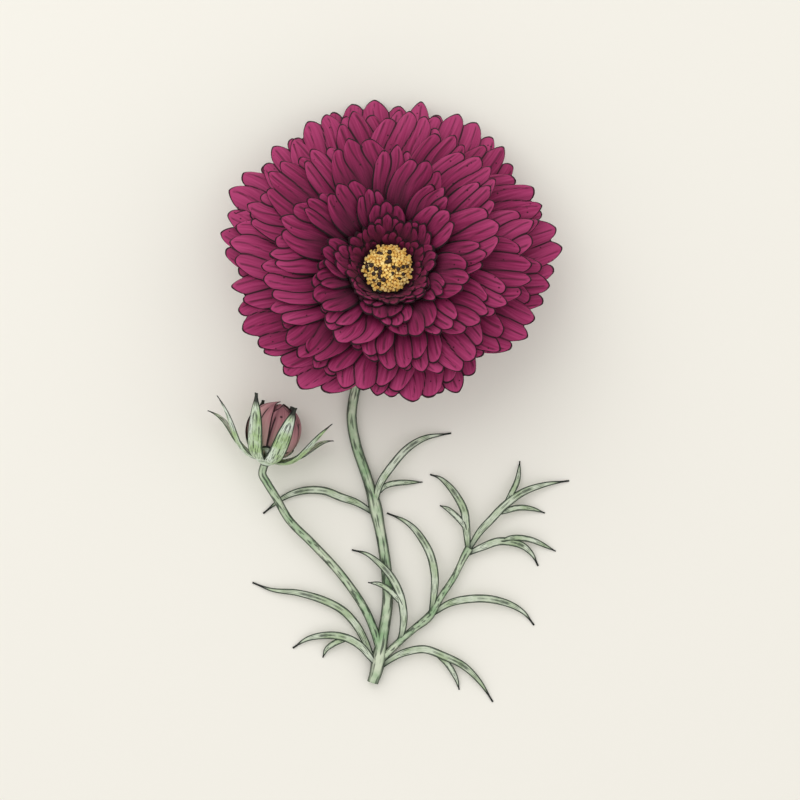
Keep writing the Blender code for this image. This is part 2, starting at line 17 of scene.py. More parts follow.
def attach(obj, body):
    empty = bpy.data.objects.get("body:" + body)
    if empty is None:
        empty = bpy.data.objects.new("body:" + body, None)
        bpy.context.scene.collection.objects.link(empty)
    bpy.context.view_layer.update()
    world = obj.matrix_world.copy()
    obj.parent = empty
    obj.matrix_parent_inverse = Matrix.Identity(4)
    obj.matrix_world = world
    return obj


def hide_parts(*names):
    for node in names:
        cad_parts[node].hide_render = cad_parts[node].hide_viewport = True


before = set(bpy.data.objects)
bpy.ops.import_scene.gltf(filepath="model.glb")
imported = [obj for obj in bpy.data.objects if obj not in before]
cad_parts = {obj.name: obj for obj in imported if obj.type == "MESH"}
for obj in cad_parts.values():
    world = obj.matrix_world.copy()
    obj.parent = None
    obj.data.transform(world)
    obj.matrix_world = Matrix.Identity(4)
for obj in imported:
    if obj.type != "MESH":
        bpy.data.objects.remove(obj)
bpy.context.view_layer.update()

# %% [markdown]
# ## Where the head is
#
# The flower's head has a frame of its own: its Z axis runs through the disc, and it leans towards the rear. The
# disc is a turned solid, so the middle of its points lies on that axis, and its lowest point along the axis is
# the disc's flat underside. Those two facts give the head's place without a single copied coordinate.

# %% The head's own frame
HEAD_TILT = math.radians(14)
HEAD_HEIGHT = 0.0134
SEAT_RISE = 0.0065
FIT_GAP = 0.0003

head_axis = np.array([0, math.sin(HEAD_TILT), math.cos(HEAD_TILT)])
disc_points = np.array([tuple(vert.co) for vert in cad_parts["disc"].data.vertices])
disc_points = np.unique(np.round(disc_points, 6), axis=0)
heights = disc_points @ head_axis
off_axis = (disc_points - np.outer(heights, head_axis)).mean(axis=0)
head_base = off_axis + head_axis * (heights.min() - SEAT_RISE - FIT_GAP)
SHIFT = head_base - np.array([0, 0, HEAD_HEIGHT])
HEAD = Matrix.Translation(Vector(head_base)) @ Matrix.Rotation(-HEAD_TILT, 4, "X")
print("head base", np.round(head_base * 1000, 2), "mm; shift", np.round(SHIFT * 1000, 2), "mm")

# %% [markdown]
# ## Making meshes from rules
#
# Petals, blades and tubes are all grids: rows of points along the piece, and columns across or around it. One
# helper makes the faces of such a grid. Another makes a Blender mesh of one or more grids, and stores on it the
# numbers that the materials read, such as how far a point is from its petal's edge.

# %% Mesh helpers
RESTING = 0.00006


def grid_faces(rows, columns, closed=False):
    """Quads between rows of points. A closed grid joins its last column to its first."""
    wide = columns if closed else columns - 1
    faces = []
    for i in range(rows - 1):
        for j in range(wide):
            k = (j + 1) % columns
            faces.append((i * columns + j, (i + 1) * columns + j, (i + 1) * columns + k, i * columns + k))
    return faces


def make_piece(name, grids, material, node_names=(), thickness=None):
    """One object at the origin from grids of (points, faces, {number's name: values})."""
    numbers = {key: [] for grid in grids for key in grid[2]}
    points, faces, start = [], [], 0
    for grid_points, grid_face_list, grid_numbers in grids:
        points.append(grid_points)
        faces += [tuple(start + k for k in face) for face in grid_face_list]
        for key, values in numbers.items():
            values.append(np.broadcast_to(grid_numbers.get(key, 0.0), len(grid_points)))
        start += len(grid_points)
    points = np.concatenate(points)
    points[:, 2] = np.maximum(points[:, 2], RESTING)
    mesh = bpy.data.meshes.new(name)
    mesh.from_pydata(points.tolist(), [], faces)
    for key, values in numbers.items():
        layer = mesh.attributes.new(key, "FLOAT", "POINT")
        layer.data.foreach_set("value", np.concatenate(values).astype(np.float32))
    mesh.materials.append(material)
    mesh.shade_smooth()
    return finish_piece(bpy.data.objects.new(name, mesh), node_names, thickness)


def finish_piece(piece, node_names, thickness=None):
    """Links a piece, gives a sheet its thickness, and ties the piece to the CAD model."""
    bpy.context.scene.collection.objects.link(piece)
    if thickness:
        solidify = piece.modifiers.new("thickness", "SOLIDIFY")
        solidify.thickness = thickness
        solidify.offset = 0
    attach(piece, "root")
    if node_names:
        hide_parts(*node_names)
    return piece


def placed(points, matrix):
    """Points moved from a piece's own frame to the sprig's."""
    matrix = np.array(matrix)
    return points @ matrix[:3, :3].T + matrix[:3, 3]


# %% [markdown]
# ## Node materials
#
# Each material starts from a real surface. Colours are written as sRGB hex values, because that is how a colour
# picker shows them, and turned to the linear values that a shader needs. One small function adds a node, sets its
# properties and links its inputs.


# %% Material helpers
def colour(hex_value):
    """An sRGB hex value as a linear colour."""
    shares = [int(hex_value[k : k + 2], 16) / 255 for k in (1, 3, 5)]
    linear = [s / 12.92 if s <= 0.04045 else ((s + 0.055) / 1.055) ** 2.4 for s in shares]
    return (*linear, 1.0)


def add(tree, kind, inputs=None, **settings):
    """Adds a node. An input takes a value, a socket, or another node's first output."""
    node = tree.nodes.new(kind)
    for key, value in settings.items():
        setattr(node, key, value)
    for key, value in (inputs or {}).items():
        if isinstance(value, bpy.types.Node):
            value = value.outputs[0]
        if isinstance(value, bpy.types.NodeSocket):
            tree.links.new(value, node.inputs[key])
        else:
            node.inputs[key].default_value = value
    return node


def start_material(name, roughness, **constants):
    """A material with its node tree and shader. Constants go straight on the shader's sockets."""
    material = bpy.data.materials.new(name)
    material.use_nodes = True
    shader = material.node_tree.nodes["Principled BSDF"]
    shader.inputs["Roughness"].default_value = roughness
    for key, value in constants.items():
        shader.inputs[key.replace("_", " ")].default_value = value
    return material, material.node_tree, shader


def number(tree, name):
    """The socket of a number that the mesh carries."""
    return add(tree, "ShaderNodeAttribute", attribute_name=name).outputs["Fac"]


def ramp(tree, value, stops):
    """A colour ramp with (position, hex) stops."""
    node = add(tree, "ShaderNodeValToRGB", {0: value})
    elements = node.color_ramp.elements
    while len(elements) < len(stops):
        elements.new(0.5)
    for element, (position, hex_value) in zip(elements, stops):
        element.position = position
        element.color = colour(hex_value)
    return node


def darken(tree, base, mask, hex_value, amount):
    """base mixed towards a colour, by amount where mask is 1."""
    share = add(tree, "ShaderNodeMath", {0: mask, 1: amount}, operation="MULTIPLY")
    mix = add(tree, "ShaderNodeMix", {0: share, 6: base, 7: colour(hex_value)}, data_type="RGBA")
    return mix.outputs[2]


# %% [markdown]
# ## Petal skin
#
# A crimson cosmos petal is matt and velvety. It is lightest on the lobes and darkens towards the claw, as painted
# shade where the petals stack. Folds run from the claw to each notch, with painted shade along them as dark
# lines, fine veins run between them, and the very edge is dark.
# The mesh carries what that needs: the share along the petal, and the distances in millimetres to its edge, to the
# nearest fold and to the middle of the nearest lobe.


# %% Petal skin
def line_mask(tree, distance, wide, fine):
    """1 on a line, 0 off it. The distances are in millimetres."""
    span = {"Value": distance, "From Min": wide, "From Max": fine, "To Min": 0.0, "To Max": 1.0}
    return add(tree, "ShaderNodeMapRange", span, interpolation_type="SMOOTHSTEP")


def petal_skin(name, stops, line_hex, freckle_scale):
    material, tree, shader = start_material(name, 0.72, Sheen_Weight=0.04, Specular_IOR_Level=0.25)
    along, rim, crease, middle, across, tone = (
        number(tree, key) for key in ("along", "rim", "crease", "middle", "across", "tone")
    )
    streak_place = add(tree, "ShaderNodeCombineXYZ", {0: across, 1: along, 2: tone})
    streaks = add(tree, "ShaderNodeVectorMath", {0: streak_place, 1: (22, 2.4, 9)}, operation="MULTIPLY")
    veins = add(tree, "ShaderNodeTexNoise", {"Vector": streaks, "Scale": 1.0, "Detail": 4.0, "Roughness": 0.6})
    veins = veins.outputs[0]
    uneven = add(tree, "ShaderNodeMath", {0: veins, 1: 0.9, 2: -0.45}, operation="MULTIPLY_ADD")
    lifted = add(tree, "ShaderNodeMath", {0: along, 1: uneven}, operation="ADD")
    lifted = add(tree, "ShaderNodeMath", {0: lifted, 1: tone}, operation="ADD")
    # The ramp darkens towards the claw as painted shade where the petals stack; veins and each petal's tone shift it.
    tinted = ramp(tree, lifted, stops).outputs[0]
    # A short line of painted shade marks the fold down the middle of each lobe, on its outer part only.
    outer = add(tree, "ShaderNodeMapRange", {"Value": along, "From Min": 0.62, "From Max": 0.76})
    inside = add(tree, "ShaderNodeMapRange", {"Value": rim, "From Min": 0.8, "From Max": 1.4})
    short = add(tree, "ShaderNodeMath", {0: outer, 1: inside}, operation="MULTIPLY")
    lobe_fold_shade = add(tree, "ShaderNodeMath", {0: line_mask(tree, middle, 0.3, 0.1), 1: short}, operation="MULTIPLY")
    # Painted shade along the fold to each notch is sharp near the notch and fades towards the claw.
    reach = add(tree, "ShaderNodeMapRange", {"Value": lifted, "From Min": 0.3, "From Max": 0.55})
    notch_fold_shade = add(tree, "ShaderNodeMath", {0: line_mask(tree, crease, 0.28, 0.14), 1: reach}, operation="MULTIPLY")
    # Painted shade in the folds: faint and broad beside every fold, then the lobe dashes and the sharp notch lines.
    tinted = darken(tree, tinted, line_mask(tree, crease, 1.3, 0.0), line_hex, 0.3)
    tinted = darken(tree, tinted, lobe_fold_shade, line_hex, 0.6)
    tinted = darken(tree, tinted, notch_fold_shade, line_hex, 0.92)
    tinted = darken(tree, tinted, line_mask(tree, rim, 0.42, 0.26), line_hex, 0.96)
    # Tiny dark freckles, about 2 mm apart, sit on the lobes.
    place = add(tree, "ShaderNodeTexCoord").outputs["Object"]
    cells = add(tree, "ShaderNodeTexVoronoi", {"Vector": place, "Scale": freckle_scale})
    tinted = darken(tree, tinted, line_mask(tree, cells.outputs["Distance"], 0.12, 0.07), line_hex, 0.8)
    tree.links.new(tinted, shader.inputs["Base Color"])
    bump = add(tree, "ShaderNodeBump", {"Strength": 0.35, "Distance": 0.0002, "Height": veins})
    tree.links.new(bump.outputs[0], shader.inputs["Normal"])
    return material


# Stops from the claw to the lobes: the dark ones at the claw are painted shade.
PETAL_STOPS = ((0.0, "#34041b"), (0.3, "#5f0c34"), (0.68, "#8a1c4f"), (1.0, "#ae3a6e"))
velvet_petal = petal_skin("velvety_cosmos_petal", PETAL_STOPS, "#150108", 450.0)
BUD_STOPS = ((0.1, "#a9b894"), (0.4, "#c4a09a"), (0.75, "#b98388"), (1.0, "#9a666e"))
bud_skin = petal_skin("closed_bud_petal", BUD_STOPS, "#1c0c10", 300.0)
print("petal materials ready")

# %% [markdown]
# ## The rule of the head
#
# All petals lie on one family of nested surfaces round the head's axis. Rank 0 is the outermost, rank 1 the
# innermost, and a higher rank is higher everywhere, so petals never cross. Each petal is a golden angle round from
# the one before, which is how a flower packs them. The fine petals use the CAD's own rule, and add what a solid
# sheet leaves out: rounded lobes, folds to the notches, and a ruffle that grows towards the edge.

# %% Petal rule
PETALS = 36
GOLDEN_ANGLE = math.radians(137.508)
FIRST_PETAL_AZIMUTH = math.radians(96)
SEAT_RADIUS = 0.0058
PETAL_REACH, REACH_REAR, REACH_SIDES = 0.0370, 0.0063, 0.0013
INNER_SHORTENING, SHORTENING_POWER = 0.73, 1.7
PETAL_HALF_WIDTHS = (0.0112, 0.0040)
CLAW_HALF_WIDTH = 0.0012
ARCH_HEIGHTS, ARCH_LENGTH = (0.0055, 0.0155), 0.007
DROOP_SIDE, DROOP_REAR = 0.004, 0.0018
WIDEST_ALONG = 0.8
LOBE_DEPTH, TIP_ROUNDING = 0.09, 0.12
PETAL_THICKNESS = 0.00022
ACROSS, ALONG = 48, 44


def between(pair, share):
    return pair[0] + (pair[1] - pair[0]) * share


def petal_height(rank, radius, azimuth):
    out = np.maximum(radius - SEAT_RADIUS, 0)
    arch = between(ARCH_HEIGHTS, rank) * (1 - np.exp(-out / ARCH_LENGTH))
    droop = (DROOP_SIDE + DROOP_REAR * np.sin(azimuth)) * (out / (PETAL_REACH - SEAT_RADIUS)) ** 2
    return SEAT_RISE * rank + arch - droop


def petal_reach(rank, azimuth):
    full = PETAL_REACH + REACH_REAR * np.sin(azimuth) + REACH_SIDES * np.cos(azimuth) ** 2
    return full * (1 - INNER_SHORTENING * min(rank, 1) ** SHORTENING_POWER)


def petal_grid(rank, azimuth, lobes, reach, half_width, ruffle, seed, columns=ACROSS, rows=ALONG, start=SEAT_RADIUS):
    """One ruffled petal in the sprig's frame, as a grid with its numbers."""
    rng = np.random.default_rng(seed)
    across, along = np.meshgrid(np.linspace(-1, 1, columns + 1), np.linspace(0, 1, rows + 1))
    snake = 0.16 * np.sin(2 * math.pi * (along * 1.2 + rng.random())) * (1 - across**2)
    lobe_place = (across + 1) / 2 * lobes + snake
    lobe = np.clip(np.floor(lobe_place), 0, lobes - 1).astype(int)
    fold = np.abs(lobe_place - lobe - 0.5)
    roundness = 0.5 * (1 - np.sqrt(1 - 0.97 * (2 * fold) ** 2)) + 0.5 * (2 * fold) ** 1.3
    lobe_reach = rng.uniform(-0.02, 0.0, lobes)[lobe] * np.cos(math.pi * fold) ** 2
    tip = reach * (1 - TIP_ROUNDING * across**2 - LOBE_DEPTH * roundness * (0.35 + 0.65 * along**2) + lobe_reach)
    radius = start + along * (tip - start)
    width = between((CLAW_HALF_WIDTH, half_width), np.sin(math.pi / 2 * np.minimum(along / WIDEST_ALONG, 1.25)))
    sway = 0.06 * along**2 * np.sin(2 * math.pi * (along * 0.8 + rng.random()))
    turn = across * width / radius + sway * (1 - 0.5 * np.abs(across))
    height = petal_height(rank, radius, azimuth + turn)
    pleat = (0.5 - 2 * fold) * 0.8 * along**1.1
    wave = 0.7 * along**2 * np.sin(math.pi * (1.5 * across + 2 * rng.random()))
    curl = rng.uniform(-0.9, 1.1, lobes)[lobe] * np.cos(math.pi * fold) ** 2 * np.clip((along - 0.55) / 0.45, 0, 1) ** 2
    height = height + ruffle * (pleat + wave + curl)
    around = azimuth + turn
    points = np.stack([radius * np.cos(around), radius * np.sin(around), height], axis=-1).reshape(-1, 3)
    rim = np.minimum((1 - along) * (tip - start), (1 - np.abs(across)) * width) * 1000
    lobe_width = 2000 * width / lobes
    numbers = {
        "along": along.ravel(),
        "across": (across * half_width * 100).ravel(),
        "rim": rim.ravel(),
        "crease": ((0.5 - fold) * lobe_width).ravel(),
        "middle": (fold * lobe_width).ravel(),
        # Each petal's tone differs at random, and the inner petals are darker as painted shade deep in the head.
        "tone": np.full(across.size, rng.uniform(-0.14, 0.12) - 0.16 * min(rank, 1)),
    }
    return placed(points, HEAD), grid_faces(rows + 1, columns + 1), numbers


# %% [markdown]
# ## Ray petals
#
# Each of the 36 CAD petals gets a fine one in its place. The broad outer ones have four lobes, and the short
# inner ones have three, so a lobe is 3 to 5 mm wide everywhere. The ruffle is under a millimetre, less than the space between two petals that overlap.

# %% Ray petals
RUFFLES = (0.00080, 0.00045)


def ruffle(rank):
    """How far an edge waves up and down. The small inner petals wave less."""
    return between(RUFFLES, min(rank, 1) ** 2)


for k in range(PETALS):
    rank = k / (PETALS - 1)
    azimuth = FIRST_PETAL_AZIMUTH + k * GOLDEN_ANGLE
    lobes = 4 if rank < 0.6 else 3
    grid = petal_grid(
        rank, azimuth, lobes, petal_reach(rank, azimuth), between(PETAL_HALF_WIDTHS, rank), ruffle(rank), seed=100 + k
    )
    node = f"ray_petal_{k + 1:02d}"
    make_piece(f"petal_{k + 1:02d}", [grid], velvet_petal, [node], PETAL_THICKNESS)
print(PETALS, "ray petals")

# %% [markdown]
# Narrower rays crowd between the broad ones on a real head. Each of these sits half a step between two of the
# nested surfaces and half a golden turn between two petals, so it keeps clear of its neighbours in the same way.

# %% Narrow rays
narrow_rays = range(33)
for k in narrow_rays:
    rank = (k + 0.5) / (PETALS - 1)
    azimuth = FIRST_PETAL_AZIMUTH + (k + 0.5) * GOLDEN_ANGLE
    half_width = 0.72 * between(PETAL_HALF_WIDTHS, rank)
    grid = petal_grid(rank, azimuth, 3, 0.97 * petal_reach(rank, azimuth), half_width, ruffle(rank), seed=300 + k)
    make_piece(f"narrow_ray_{k + 1:02d}", [grid], velvet_petal, (), PETAL_THICKNESS)
print(len(narrow_rays), "narrow rays")

# %% [markdown]
# ## Petaloids round the disc
#
# In a double cosmos the innermost rays are small, narrow and curled, and crowd round the disc. They are too small
# to be parts of their own in the CAD model, so they are added here, on surfaces just above the last petal's.

# %% Petaloids
PETALOIDS = 24
PETALOID_HALF_WIDTHS = (0.0036, 0.0021)
grids = []
for k in range(PETALOIDS):
    rng = np.random.default_rng(500 + k)
    share = k / PETALOIDS
    rank, azimuth, start = 1.0 + 0.09 * share, 0.7 + k * GOLDEN_ANGLE, between((SEAT_RADIUS, 0.0049), share)
    reach = start + between((0.0058, 0.0020), share) * rng.uniform(0.85, 1.1)
    half_width = between(PETALOID_HALF_WIDTHS, share)
    grids.append(petal_grid(rank, azimuth, 3, reach, half_width, 0.0004, 500 + k, columns=24, rows=20, start=start))
make_piece("petaloids", grids, velvet_petal, (), PETAL_THICKNESS)
print(PETALOIDS, "petaloids")

# %% [markdown]
# ## The disc
#
# The disc is a tight dome of tiny tube florets in a golden-angle spiral, yellow with pollen, with dark anthers
# standing out of some. A rule like that is what Geometry Nodes are for: a line of points is laid on a spiral by
# its index, and a small floret goes on each point.

# %% Disc materials
pollen, tree, shader = start_material("pollen_yellow_floret", 0.8, Sheen_Weight=0.1)
grain = add(tree, "ShaderNodeTexNoise", {"Vector": add(tree, "ShaderNodeTexCoord").outputs["Object"], "Scale": 900.0})
tint = ramp(tree, grain.outputs["Fac"], ((0.3, "#e6ac47"), (0.5, "#fad271"), (0.7, "#ffe9a4")))
tree.links.new(tint.outputs[0], shader.inputs["Base Color"])
anther, tree, shader = start_material("dark_anther", 0.6)
grain = add(tree, "ShaderNodeTexNoise", {"Vector": add(tree, "ShaderNodeTexCoord").outputs["Object"], "Scale": 700.0})
tint = ramp(tree, grain.outputs["Fac"], ((0.35, "#150803"), (0.65, "#3a1d0a")))
tree.links.new(tint.outputs[0], shader.inputs["Base Color"])

# %% Floret tree
DISC_RADIUS, DISC_HEIGHT = 0.0049, 0.0024
tree = bpy.data.node_groups.new("floret_spiral", "GeometryNodeTree")
tree.interface.new_socket("Geometry", in_out="OUTPUT", socket_type="NodeSocketGeometry")
for label, kind in (
    ("Florets", "NodeSocketInt"),
    ("Radius", "NodeSocketFloat"),
    ("Dome height", "NodeSocketFloat"),
    ("Floret radius", "NodeSocketFloat"),
    ("Floret length", "NodeSocketFloat"),
    ("Anther share", "NodeSocketFloat"),
    ("Seed", "NodeSocketInt"),
):
    tree.interface.new_socket(label, in_out="INPUT", socket_type=kind)
entry = add(tree, "NodeGroupInput").outputs
index = add(tree, "GeometryNodeInputIndex")
half = add(tree, "ShaderNodeMath", {0: index, 1: 0.5}, operation="ADD")
share = add(tree, "ShaderNodeMath", {0: half, 1: entry["Florets"]}, operation="DIVIDE")
spread = add(tree, "ShaderNodeMath", {0: share}, operation="SQRT")
turn = add(tree, "ShaderNodeMath", {0: index, 1: GOLDEN_ANGLE}, operation="MULTIPLY")
radius = add(tree, "ShaderNodeMath", {0: spread, 1: entry["Radius"]}, operation="MULTIPLY")
east = add(tree, "ShaderNodeMath", {0: add(tree, "ShaderNodeMath", {0: turn}, operation="COSINE"), 1: radius}, operation="MULTIPLY")
north = add(tree, "ShaderNodeMath", {0: add(tree, "ShaderNodeMath", {0: turn}, operation="SINE"), 1: radius}, operation="MULTIPLY")
fall = add(tree, "ShaderNodeMath", {0: share, 1: -0.85, 2: 1.0}, operation="MULTIPLY_ADD")
rise = add(tree, "ShaderNodeMath", {0: add(tree, "ShaderNodeMath", {0: fall}, operation="SQRT"), 1: entry["Dome height"]}, operation="MULTIPLY")
spot = add(tree, "ShaderNodeCombineXYZ", {0: east, 1: north, 2: rise})
line = add(tree, "GeometryNodeMeshLine", {"Count": entry["Florets"]})
laid = add(tree, "GeometryNodeSetPosition", {"Geometry": line, "Position": spot})
outward = add(tree, "ShaderNodeVectorMath", {0: spot, 1: (0, 0, 0.004)}, operation="ADD")
lean = add(tree, "FunctionNodeAlignRotationToVector", {"Vector": outward})
sizes = add(tree, "FunctionNodeRandomValue", {2: 0.75, 3: 1.25, "Seed": entry["Seed"]}, data_type="FLOAT")
tube = add(
    tree,
    "GeometryNodeMeshCone",
    {"Vertices": 6, "Radius Top": entry["Floret radius"], "Radius Bottom": entry["Floret radius"], "Depth": entry["Floret length"]},
)
floret = add(tree, "GeometryNodeInstanceOnPoints", {"Points": laid, "Instance": tube, "Rotation": lean, "Scale": sizes.outputs[1]})
wider = add(tree, "ShaderNodeMath", {0: entry["Floret radius"], 1: 1.5}, operation="MULTIPLY")
ball = add(tree, "GeometryNodeMeshIcoSphere", {"Radius": wider, "Subdivisions": 2})
chosen = add(tree, "FunctionNodeRandomValue", {"Probability": entry["Anther share"], "Seed": entry["Seed"]}, data_type="BOOLEAN")
lift = add(tree, "ShaderNodeCombineXYZ", {2: entry["Floret length"]})
raised = add(tree, "GeometryNodeSetPosition", {"Geometry": laid, "Offset": lift})
dots = add(tree, "GeometryNodeInstanceOnPoints", {"Points": raised, "Selection": chosen.outputs[3], "Instance": ball, "Scale": sizes.outputs[1]})
yellow = add(tree, "GeometryNodeSetMaterial", {"Geometry": add(tree, "GeometryNodeRealizeInstances", {0: floret}), "Material": pollen})
dark = add(tree, "GeometryNodeSetMaterial", {"Geometry": add(tree, "GeometryNodeRealizeInstances", {0: dots}), "Material": anther})
both = tree.nodes.new("GeometryNodeJoinGeometry")
tree.links.new(yellow.outputs[0], both.inputs[0])
tree.links.new(dark.outputs[0], both.inputs[0])
add(tree, "NodeGroupOutput", {0: both})

# %% Bake the disc
holder = bpy.data.objects.new("floret_holder", bpy.data.meshes.new("floret_holder"))
bpy.context.scene.collection.objects.link(holder)
spiral = holder.modifiers.new("florets", "NODES")
spiral.node_group = tree
settings = {
    "Florets": 190,
    "Radius": DISC_RADIUS * 0.97,
    "Dome height": DISC_HEIGHT,
    "Floret radius": 0.00034,
    "Floret length": 0.0011,
    "Anther share": 0.16,
    "Seed": 7,
}
for item in tree.interface.items_tree:
    if item.in_out == "INPUT":
        spiral[item.identifier] = settings[item.name]
graph = bpy.context.evaluated_depsgraph_get()
florets = bpy.data.meshes.new_from_object(holder.evaluated_get(graph))
bpy.data.objects.remove(holder)
# The instanced shapes had no material before the tree set one, which leaves an empty first slot behind.
while florets.materials and florets.materials[0] is None:
    florets.materials.pop(index=0)
florets.transform(HEAD @ Matrix.Translation((0, 0, SEAT_RISE + FIT_GAP)))
florets.name = "disc_florets"
finish_piece(bpy.data.objects.new("disc_florets", florets), ())
used = {florets.materials[k].name for k in {polygon.material_index for polygon in florets.polygons}}
print("disc", len(florets.polygons), "faces, materials", sorted(used))


# %% Dome below the florets
def turned_grid(profile, steps, matrix, ribs=0, rib_depth=0.0):
    """A profile of (radius, height) points turned about its frame's Z axis, from its top down."""
    angles = np.arange(steps) * 2 * math.pi / steps
    rows = []
    for radius, height in profile:
        bulge = radius * (1 + rib_depth * np.cos(ribs * angles))
        rows.append(np.stack([bulge * np.cos(angles), bulge * np.sin(angles), np.full(steps, height)], axis=-1))
    points = placed(np.concatenate(rows), matrix)
    count = len(profile)
    faces = grid_faces(count, steps, closed=True)
    faces += [tuple(range(steps)), tuple(reversed(range((count - 1) * steps, count * steps)))]
    along = np.repeat(np.linspace(0, 1, count), steps)
    numbers = {"along": along, "rim": 9.0, "crease": 9.0, "middle": 9.0, "round": np.tile(angles, count)}
    return points, faces, numbers


dome = [(0.0002, DISC_HEIGHT), (0.0025, DISC_HEIGHT * 0.9), (0.0041, DISC_HEIGHT * 0.6), (DISC_RADIUS, 0.0004), (DISC_RADIUS, 0)]
make_piece(
    "disc_dome",
    [turned_grid(dome, 48, HEAD @ Matrix.Translation((0, 0, SEAT_RISE + FIT_GAP)))],
    pollen,
    ["disc"],
)

# %% [markdown]
# ## Green skins
#
# Cosmos leaves are thread-like and waxy: pale grey-green along the middle, with a dark dried tip, and painted shade
# darkens both edges, where a blade turns away from the light. The stems are ribbed and streaked darker along their
# length, and painted shade darkens both flanks, so that a pale line runs along each stem's top.


# %% Green skins
def streaky_green(tree, place, along_scale, stops, deep):
    """Pale and deeper green in blotches, with dark streaks that run lengthwise."""
    spot = add(tree, "ShaderNodeTexCoord").outputs["Object"]
    blotch = add(tree, "ShaderNodeTexNoise", {"Vector": spot, "Scale": 240.0, "Detail": 3.0}).outputs[0]
    drawn = add(tree, "ShaderNodeVectorMath", {0: place, 1: along_scale}, operation="MULTIPLY")
    streak = add(tree, "ShaderNodeTexNoise", {"Vector": drawn, "Scale": 1.0, "Detail": 3.0}).outputs[0]
    dark = add(tree, "ShaderNodeMapRange", {"Value": streak, "From Min": 0.52, "From Max": 0.6})
    fine = add(tree, "ShaderNodeTexNoise", {"Vector": spot, "Scale": 1500.0}).outputs[0]
    bump = add(tree, "ShaderNodeBump", {"Strength": 0.2, "Distance": 0.0001, "Height": fine})
    tree.links.new(bump.outputs[0], tree.nodes["Principled BSDF"].inputs["Normal"])
    return darken(tree, ramp(tree, blotch, stops).outputs[0], dark, deep, 0.8)


def blade_skin(name, pale, mid, deep, tip):
    material, tree, shader = start_material(name, 0.55, Specular_IOR_Level=0.3)
    along, rim = number(tree, "along"), number(tree, "rim")
    place = add(tree, "ShaderNodeCombineXYZ", {0: rim, 1: along})
    tinted = streaky_green(tree, place, (4.5, 7.0, 1.0), ((0.38, mid), (0.62, pale)), deep)
    # Painted shade darkens both edges of each blade, where it turns away from the light.
    tinted = darken(tree, tinted, line_mask(tree, rim, 0.36, 0.18), deep, 0.92)
    tinted = darken(tree, tinted, line_mask(tree, along, 0.16, 0.0), deep, 0.9)
    ends = add(tree, "ShaderNodeMapRange", {"Value": along, "From Min": 0.88, "From Max": 0.93})
    tinted = darken(tree, tinted, ends, tip, 0.95)
    tree.links.new(tinted, shader.inputs["Base Color"])
    return material


leaf_skin = blade_skin("waxy_cosmos_leaf", "#d3dcc8", "#a9bb97", "#1f2f22", "#0c100c")
bract_skin = blade_skin("green_bract", "#dbe5d6", "#a8c28c", "#1b2a1d", "#0a0d0a")
RIBS = 5
stem_skin, tree, shader = start_material("ribbed_green_stem", 0.55, Specular_IOR_Level=0.3)
turn, along = number(tree, "round"), number(tree, "along")
place = add(tree, "ShaderNodeCombineXYZ", {0: turn, 1: along})
tinted = streaky_green(tree, place, (1.6, 16.0, 1.0), ((0.35, "#8fae84"), (0.65, "#d0d9bf")), "#16241a")
# Painted shade: both flanks are dark, as a round stem's sides turn away from the light, so a pale line runs along its
# top.
flank = add(tree, "ShaderNodeMath", {0: turn, 1: 2.0}, operation="MULTIPLY")
flank = add(tree, "ShaderNodeMath", {0: flank}, operation="COSINE")
flank_shade = add(tree, "ShaderNodeMapRange", {"Value": flank, "From Min": -0.35, "From Max": 0.35})
tinted = darken(tree, tinted, flank_shade, "#16241a", 0.85)
tree.links.new(tinted, shader.inputs["Base Color"])
print("green materials ready")

# %% [markdown]
# ## Sweeping stems and blades
#
# A stem or a leaf follows a smooth curve through a few points. A stem is a round, faintly ribbed tube. A leaf is a
# thin blade with a shallow gutter down its middle, and tapers to a point. Both are rows of points along the route.


# %% Sweeps
def smooth_route(knots, step=0.0004):
    """Evenly close points along one smooth curve through the knots (Catmull-Rom)."""
    knots = [np.array(k, dtype=float) for k in knots]
    ends = [2 * knots[0] - knots[1], *knots, 2 * knots[-1] - knots[-2]]
    route = []
    for a, b, c, d in zip(ends, ends[1:], ends[2:], ends[3:]):
        count = max(3, round(float(np.linalg.norm(c - b)) / step))
        for t in np.arange(count) / count:
            route.append(b + ((c - a) * t + (2 * a - 5 * b + 4 * c - d) * t**2 + (3 * b - a - 3 * c + d) * t**3) / 2)
    return np.array([*route, knots[-1]])


def directions(route):
    """Unit tangents of a route."""
    tangents = np.gradient(route, axis=0)
    return tangents / np.linalg.norm(tangents, axis=1, keepdims=True)


def stem_grid(route, radii, sides=20, swells=()):
    """A ribbed tube. Each swell is (share along, more radius there)."""
    tangents = directions(route)
    side = np.cross(tangents, (0, 0, 1.0))
    side /= np.linalg.norm(side, axis=1, keepdims=True)
    up = np.cross(side, tangents)
    share = np.linspace(0, 1, len(route))
    radius = between(radii, share)
    for spot, more in swells:
        radius = radius + more * np.exp(-(((share - spot) * len(route) * 0.4) ** 2) / 8)
    angles = np.arange(sides) * 2 * math.pi / sides
    shape = 1 + 0.035 * np.cos(RIBS * 2 * angles)
    ring = np.cos(angles)[None, :, None] * side[:, None, :] + np.sin(angles)[None, :, None] * up[:, None, :]
    points = route[:, None, :] + ring * (radius[:, None] * shape[None, :])[:, :, None]
    count = len(route)
    faces = grid_faces(count, sides, closed=True)
    faces += [tuple(range(sides)), tuple(reversed(range((count - 1) * sides, count * sides)))]
    numbers = {
        "round": np.tile(angles, count),
        "along": np.repeat(share, sides),
        "rim": 9.0,
        "tone": 0.0,
    }
    return points.reshape(-1, 3), faces, numbers


BLADE_STATIONS = np.array([-1, -0.72, -0.36, 0, 0.36, 0.72, 1])


